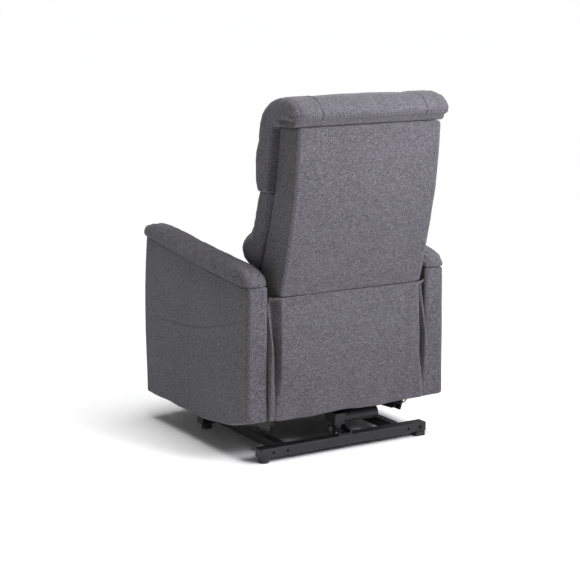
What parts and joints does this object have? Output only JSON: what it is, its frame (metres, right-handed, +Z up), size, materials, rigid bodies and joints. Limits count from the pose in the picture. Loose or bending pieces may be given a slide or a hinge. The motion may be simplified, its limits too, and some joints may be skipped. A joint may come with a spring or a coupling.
{
  "type": "powered lift recliner chair",
  "caption": "Upholstered powered recliner on a steel lift base, with a reclining back, sliding seat, folding footrest and linear actuators.",
  "frame": {"origin": "on the floor, under the middle of the chair's outline", "axes": "+Z up, +X to the sitter's left, the chair faces -Y"},
  "size_m": [0.76, 0.86, 1.15],
  "materials": {
    "charcoal_fabric": "melange weave",
    "black_steel": "black powder coat",
    "black_plastic": "fine grain",
    "bright_steel": "ground",
    "stained_board": "black stained plywood",
    "grey_key": "satin"
  },
  "bodies": {
    "base": {"base_rear_crossbar": "black_steel", "base_front_crossbar": "black_steel", "base_rail_left": "black_steel", "base_rail_right": "black_steel", "foot_rear_left": "black_plastic", "foot_rear_right": "black_plastic", "foot_front_left": "black_plastic", "foot_front_right": "black_plastic", "lift_bracket_left": "black_steel", "lift_bracket_right": "black_steel", "motor_bracket": "black_steel"},
    "lift_arms": {"lift_arm_left": "black_steel", "lift_arm_right": "black_steel", "lift_tube": "black_steel"},
    "lift_links": {"lift_link_left": "black_steel", "lift_link_right": "black_steel"},
    "lift_drive": {"lift_actuator_housing": "black_plastic", "lift_motor": "black_plastic"},
    "lift_rod": {"lift_actuator_rod": "bright_steel"},
    "chassis": {"chassis_plate_left": "black_steel", "chassis_plate_right": "black_steel", "chassis_mid_tube": "black_steel", "chassis_rear_tube": "black_steel", "arm_left": "charcoal_fabric", "arm_right": "charcoal_fabric", "arm_pad_left": "charcoal_fabric", "arm_pad_right": "charcoal_fabric", "control_box": "black_plastic", "rear_skirt": "charcoal_fabric", "motor_lead": "black_plastic"},
    "handset": {"handset_body": "black_plastic"},
    "key_lift_body": {"key_lift": "grey_key"},
    "key_back_body": {"key_back": "grey_key"},
    "key_footrest_body": {"key_footrest": "grey_key"},
    "back": {"back_shell": "charcoal_fabric", "head_cushion": "charcoal_fabric", "lumbar_cushion": "charcoal_fabric", "lower_back_cushion": "charcoal_fabric", "back_bracket_left": "black_steel", "back_bracket_right": "black_steel", "back_crossbar": "black_steel"},
    "back_drive": {"back_actuator_housing": "black_plastic"},
    "back_rod": {"back_actuator_rod": "bright_steel"},
    "seat": {"seat_rail_left": "black_steel", "seat_rail_right": "black_steel", "seat_deck": "stained_board", "seat_cushion": "charcoal_fabric"},
    "foot_drive": {"foot_actuator_housing": "black_plastic"},
    "foot_rod": {"foot_actuator_rod": "bright_steel"},
    "foot_arms": {"foot_arm_left": "black_steel", "foot_arm_right": "black_steel", "foot_drive_tube": "black_steel"},
    "foot_links": {"foot_link_left": "black_steel", "foot_link_right": "black_steel"},
    "guide_links": {"guide_link_left": "black_steel", "guide_link_right": "black_steel"},
    "tilt_links": {"tilt_link_left": "black_steel", "tilt_link_right": "black_steel"},
    "ottoman": {"ottoman_board": "stained_board", "ottoman_pad": "charcoal_fabric"}
  },
  "joints": [
    {"name": "lift", "type": "hinge", "parent": "base", "child": "lift_arms", "pos_m": [0, -0.13, 0.085], "axis": [1, 0, 0], "range_deg": [0, 60]},
    {"name": "lift_link_turn", "type": "hinge", "parent": "base", "child": "lift_links", "pos_m": [0, -0.16, 0.113], "axis": [1, 0, 0], "range_deg": [0, 60]},
    {"name": "chassis_tilt", "type": "hinge", "parent": "lift_arms", "child": "chassis", "pos_m": [0, 0.19, 0.105], "axis": [-1, 0, 0], "range_deg": [0, 35]},
    {"name": "lift_drive_swing", "type": "hinge", "parent": "base", "child": "lift_drive", "pos_m": [0, 0.224, 0.064], "axis": [-1, 0, 0], "range_deg": [-2, 2]},
    {"name": "lift_rod_travel", "type": "slide", "parent": "lift_drive", "child": "lift_rod", "axis": [0, -0.9899, 0.1419], "range_m": [0, 0.0625]},
    {"name": "recline", "type": "hinge", "parent": "chassis", "child": "back", "pos_m": [0, 0.2, 0.4], "axis": [-1, 0, 0], "range_deg": [0, 40], "deforming": ["rear_skirt"]},
    {"name": "back_drive_swing", "type": "hinge", "parent": "chassis", "child": "back_drive", "pos_m": [0, -0.04, 0.25], "axis": [-1, 0, 0], "range_deg": [-2, 2]},
    {"name": "back_rod_travel", "type": "slide", "parent": "back_drive", "child": "back_rod", "axis": [0, 0.9608, 0.2771], "range_m": [-0.0565, 0]},
    {"name": "seat_slide", "type": "slide", "parent": "chassis", "child": "seat", "axis": [0, -1, 0], "range_m": [0, 0.062]},
    {"name": "footrest", "type": "hinge", "parent": "seat", "child": "foot_arms", "pos_m": [0, -0.15, 0.25], "axis": [-1, 0, 0], "range_deg": [0, 41.42]},
    {"name": "foot_link_turn", "type": "hinge", "parent": "foot_arms", "child": "foot_links", "pos_m": [0, -0.31623, 0.13879], "axis": [-1, 0, 0], "range_deg": [-97, 0]},
    {"name": "ottoman_turn", "type": "hinge", "parent": "foot_links", "child": "ottoman", "pos_m": [0, -0.355, 0.335], "axis": [-1, 0, 0], "range_deg": [0, 136]},
    {"name": "guide_link_turn", "type": "hinge", "parent": "seat", "child": "guide_links", "pos_m": [0, -0.01, 0.2593], "axis": [-1, 0, 0], "range_deg": [0, 31]},
    {"name": "tilt_link_turn", "type": "hinge", "parent": "foot_arms", "child": "tilt_links", "pos_m": [0, -0.2431, 0.0701], "axis": [-1, 0, 0], "range_deg": [-85, 0]},
    {"name": "foot_drive_swing", "type": "hinge", "parent": "chassis", "child": "foot_drive", "pos_m": [0, 0.14, 0.2], "axis": [-1, 0, 0], "range_deg": [-3, 3]},
    {"name": "foot_rod_travel", "type": "slide", "parent": "foot_drive", "child": "foot_rod", "axis": [0, -0.9898, -0.1422], "range_m": [0, 0.126]},
    {"name": "handset_out", "type": "slide", "parent": "chassis", "child": "handset", "axis": [-1, 0, 0], "range_m": [0, 0.03]},
    {"name": "key_lift_rock", "type": "hinge", "parent": "handset", "child": "key_lift_body", "pos_m": [-0.3715, -0.135, 0.44], "axis": [0, 1, 0], "range_deg": [-5, 5], "stiffness_Nm_per_rad": 0.05},
    {"name": "key_back_rock", "type": "hinge", "parent": "handset", "child": "key_back_body", "pos_m": [-0.3715, -0.135, 0.515], "axis": [0, 1, 0], "range_deg": [-5, 5], "stiffness_Nm_per_rad": 0.05},
    {"name": "key_footrest_rock", "type": "hinge", "parent": "handset", "child": "key_footrest_body", "pos_m": [-0.3715, -0.135, 0.48], "axis": [0, 1, 0], "range_deg": [-5, 5], "stiffness_Nm_per_rad": 0.05}
  ],
  "couplings": [
    {"joint": "lift_link_turn", "follows": "lift", "ratio": 0.9995},
    {"joint": "chassis_tilt", "follows": "lift", "ratio": 0.58333},
    {"joint": "lift_drive_swing", "follows": "lift", "ratio": -0.02089},
    {"joint": "lift_rod_travel", "follows": "lift", "m_per_rad": 0.05679},
    {"joint": "back_drive_swing", "follows": "recline", "ratio": -0.00098},
    {"joint": "back_rod_travel", "follows": "recline", "m_per_rad": -0.07665},
    {"joint": "seat_slide", "follows": "footrest", "m_per_rad": 0.083},
    {"joint": "foot_link_turn", "follows": "footrest", "ratio": -2.3078},
    {"joint": "ottoman_turn", "follows": "footrest", "ratio": 3.2393},
    {"joint": "guide_link_turn", "follows": "footrest", "ratio": 0.71729},
    {"joint": "tilt_link_turn", "follows": "footrest", "ratio": -2.0169},
    {"joint": "foot_drive_swing", "follows": "footrest", "ratio": 0.06916},
    {"joint": "foot_rod_travel", "follows": "footrest", "m_per_rad": 0.17291}
  ]
}
